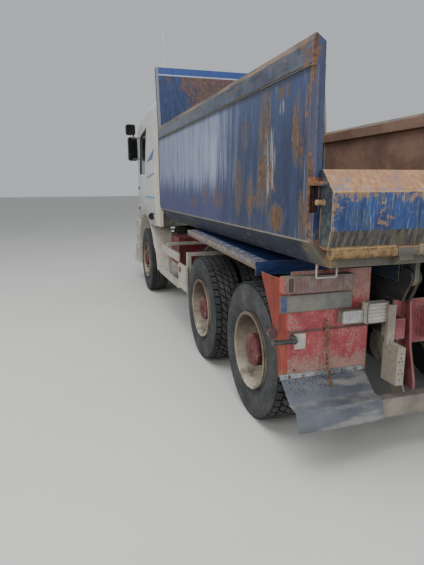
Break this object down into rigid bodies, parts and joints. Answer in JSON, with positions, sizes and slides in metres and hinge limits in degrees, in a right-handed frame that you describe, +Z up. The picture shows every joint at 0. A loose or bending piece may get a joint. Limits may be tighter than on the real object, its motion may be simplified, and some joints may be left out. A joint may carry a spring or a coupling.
{
  "type": "three-axle dump truck",
  "caption": "Cab-over dump truck with a chamfered steel tipping tub, low hinged tailgate, telescopic hoist, tilting cab, opening doors, steered front and twin rear wheels.",
  "frame": {"origin": "on the ground, at the middle of the overall length and width", "axes": "+X forward, +Y to the vehicle's left, +Z up"},
  "size_m": [7.31, 2.7638, 4.1194],
  "materials": {
    "tyre": "worn rubber",
    "rim": "dusty pale paint with red hubs",
    "frame_dark": "dirty dark paint",
    "cast": "greasy iron",
    "leaf": "rusty spring steel",
    "tank": "dull aluminium",
    "box_red": "dusty dark red",
    "alu": "weathered aluminium",
    "black_plastic": "faded black plastic",
    "cab_white": "off-white paint with blue stripes",
    "fairing": "beige paint",
    "lamp": "dusty red and amber lenses",
    "clear_lamp": "clear lens",
    "glass": "tinted glass",
    "fender": "worn pale blue paint",
    "splash_red": "red paint with grey dust",
    "flap": "grey dusty rubber",
    "plate": "blank white plate",
    "tub_blue": "scratched faded blue with rust",
    "gate_blue": "blue with salmon-tan chamfer",
    "steel": "wiped rod steel",
    "trim": "dark cab trim"
  },
  "bodies": {
    "chassis": {"chassis_frame": "frame_dark", "tipper_subframe": "frame_dark", "front_axle_beam": "cast", "front_springs": "leaf", "bogie_springs": "leaf", "drive_axles": "cast", "propshafts": "cast", "engine_gearbox": "cast", "fuel_tank": "tank", "battery_box": "box_red", "air_tanks": "frame_dark", "exhaust_silencer": "tank", "side_guards": "alu", "front_wings": "black_plastic", "cab_steps": "box_red", "front_bumper": "cab_white", "headlamps": "clear_lamp", "tandem_fenders": "fender", "rear_splash_guards": "splash_red", "mud_flaps": "flap", "under_run_bar": "alu", "tow_beam": "splash_red", "rear_lamps": "lamp", "number_plate": "plate", "work_light": "black_plastic"},
    "tub": {"tub_body": "tub_blue", "tub_front_wall": "tub_blue", "tub_sills": "tub_blue"},
    "tailgate": {"tailgate": "gate_blue"},
    "hoist_barrel": {"hoist_barrel": "frame_dark"},
    "cab": {"cab_shell": "cab_white", "windscreen": "glass", "front_panel": "cab_white", "cab_interior": "trim", "cab_fairings": "fairing"},
    "hoist_stage_1": {"hoist_stage_1": "steel"},
    "hoist_stage_2": {"hoist_stage_2": "steel"},
    "hoist_stage_3": {"hoist_stage_3": "steel"},
    "hoist_stage_4": {"hoist_stage_4": "steel"},
    "hoist_stage_5": {"hoist_stage_5": "steel"},
    "door_left": {"cab_door_left": "cab_white", "door_glass_left": "glass", "mirror_left": "black_plastic"},
    "steering_left": {"steering_knuckle_left": "cast"},
    "front_wheel_left": {"front_rim_left": "rim", "front_tyre_left": "tyre"},
    "drive_wheel_front_left": {"twin_rims_front_left": "rim", "twin_tyres_front_left": "tyre"},
    "drive_wheel_rear_left": {"twin_rims_rear_left": "rim", "twin_tyres_rear_left": "tyre"},
    "door_right": {"cab_door_right": "cab_white", "door_glass_right": "glass", "mirror_right": "black_plastic"},
    "steering_right": {"steering_knuckle_right": "cast"},
    "front_wheel_right": {"front_rim_right": "rim", "front_tyre_right": "tyre"},
    "drive_wheel_front_right": {"twin_rims_front_right": "rim", "twin_tyres_front_right": "tyre"},
    "drive_wheel_rear_right": {"twin_rims_rear_right": "rim", "twin_tyres_rear_right": "tyre"}
  },
  "joints": [
    {"name": "tub_tip", "type": "hinge", "parent": "chassis", "child": "tub", "pos_m": [-3.33, 0, 1.195], "axis": [0, -1, 0], "range_deg": [0, 46]},
    {"name": "tailgate_hinge", "type": "hinge", "parent": "tub", "child": "tailgate", "pos_m": [-3.6, 0, 1.425], "axis": [0, -1, 0], "range_deg": [0, 90]},
    {"name": "cab_tilt", "type": "hinge", "parent": "chassis", "child": "cab", "pos_m": [3.575, 0, 0.735], "axis": [0, 1, 0], "range_deg": [0, 55]},
    {"name": "door_left_hinge", "type": "hinge", "parent": "cab", "child": "door_left", "pos_m": [3.273, 1.143, 1.6], "axis": [0, 0, -1], "range_deg": [0, 70]},
    {"name": "steering_left_pivot", "type": "hinge", "parent": "chassis", "child": "steering_left", "pos_m": [2.255, 0.88, 0.536], "axis": [0, 0, 1], "range_deg": [-35, 35]},
    {"name": "front_wheel_left_spin", "type": "hinge", "parent": "steering_left", "child": "front_wheel_left", "pos_m": [2.255, 1.054, 0.536], "axis": [0, 1, 0], "continuous": true},
    {"name": "drive_wheel_front_left_spin", "type": "hinge", "parent": "chassis", "child": "drive_wheel_front_left", "pos_m": [-1.245, 1.088, 0.536], "axis": [0, 1, 0], "continuous": true},
    {"name": "drive_wheel_rear_left_spin", "type": "hinge", "parent": "chassis", "child": "drive_wheel_rear_left", "pos_m": [-2.6, 1.088, 0.536], "axis": [0, 1, 0], "continuous": true},
    {"name": "door_right_hinge", "type": "hinge", "parent": "cab", "child": "door_right", "pos_m": [3.273, -1.143, 1.6], "axis": [0, 0, 1], "range_deg": [0, 70]},
    {"name": "steering_right_pivot", "type": "hinge", "parent": "chassis", "child": "steering_right", "pos_m": [2.255, -0.88, 0.536], "axis": [0, 0, 1], "range_deg": [-35, 35]},
    {"name": "front_wheel_right_spin", "type": "hinge", "parent": "steering_right", "child": "front_wheel_right", "pos_m": [2.255, -1.054, 0.536], "axis": [0, 1, 0], "continuous": true},
    {"name": "drive_wheel_front_right_spin", "type": "hinge", "parent": "chassis", "child": "drive_wheel_front_right", "pos_m": [-1.245, -1.088, 0.536], "axis": [0, 1, 0], "continuous": true},
    {"name": "drive_wheel_rear_right_spin", "type": "hinge", "parent": "chassis", "child": "drive_wheel_rear_right", "pos_m": [-2.6, -1.088, 0.536], "axis": [0, 1, 0], "continuous": true},
    {"name": "hoist_trunnion", "type": "hinge", "parent": "chassis", "child": "hoist_barrel", "pos_m": [-0.52, 0, 0.96], "axis": [0, -1, 0], "range_deg": [0, 22]},
    {"name": "hoist_stage_1_slide", "type": "slide", "parent": "hoist_barrel", "child": "hoist_stage_1", "axis": [0, 0, 1], "range_m": [0, 0.4387]},
    {"name": "hoist_stage_2_slide", "type": "slide", "parent": "hoist_stage_1", "child": "hoist_stage_2", "axis": [0, 0, 1], "range_m": [0, 0.4387]},
    {"name": "hoist_stage_3_slide", "type": "slide", "parent": "hoist_stage_2", "child": "hoist_stage_3", "axis": [0, 0, 1], "range_m": [0, 0.4387]},
    {"name": "hoist_stage_4_slide", "type": "slide", "parent": "hoist_stage_3", "child": "hoist_stage_4", "axis": [0, 0, 1], "range_m": [0, 0.4387]},
    {"name": "hoist_stage_5_slide", "type": "slide", "parent": "hoist_stage_4", "child": "hoist_stage_5", "axis": [0, 0, 1], "range_m": [0, 0.4387]}
  ],
  "couplings": [
    {"joint": "hoist_trunnion", "follows": "tub_tip", "ratio": 0.46549},
    {"joint": "steering_right_pivot", "follows": "steering_left_pivot", "ratio": 1},
    {"joint": "hoist_stage_1_slide", "follows": "tub_tip", "m_per_rad": 0.54145},
    {"joint": "hoist_stage_2_slide", "follows": "tub_tip", "m_per_rad": 0.54145},
    {"joint": "hoist_stage_3_slide", "follows": "tub_tip", "m_per_rad": 0.54145},
    {"joint": "hoist_stage_4_slide", "follows": "tub_tip", "m_per_rad": 0.54145},
    {"joint": "hoist_stage_5_slide", "follows": "tub_tip", "m_per_rad": 0.54145}
  ]
}
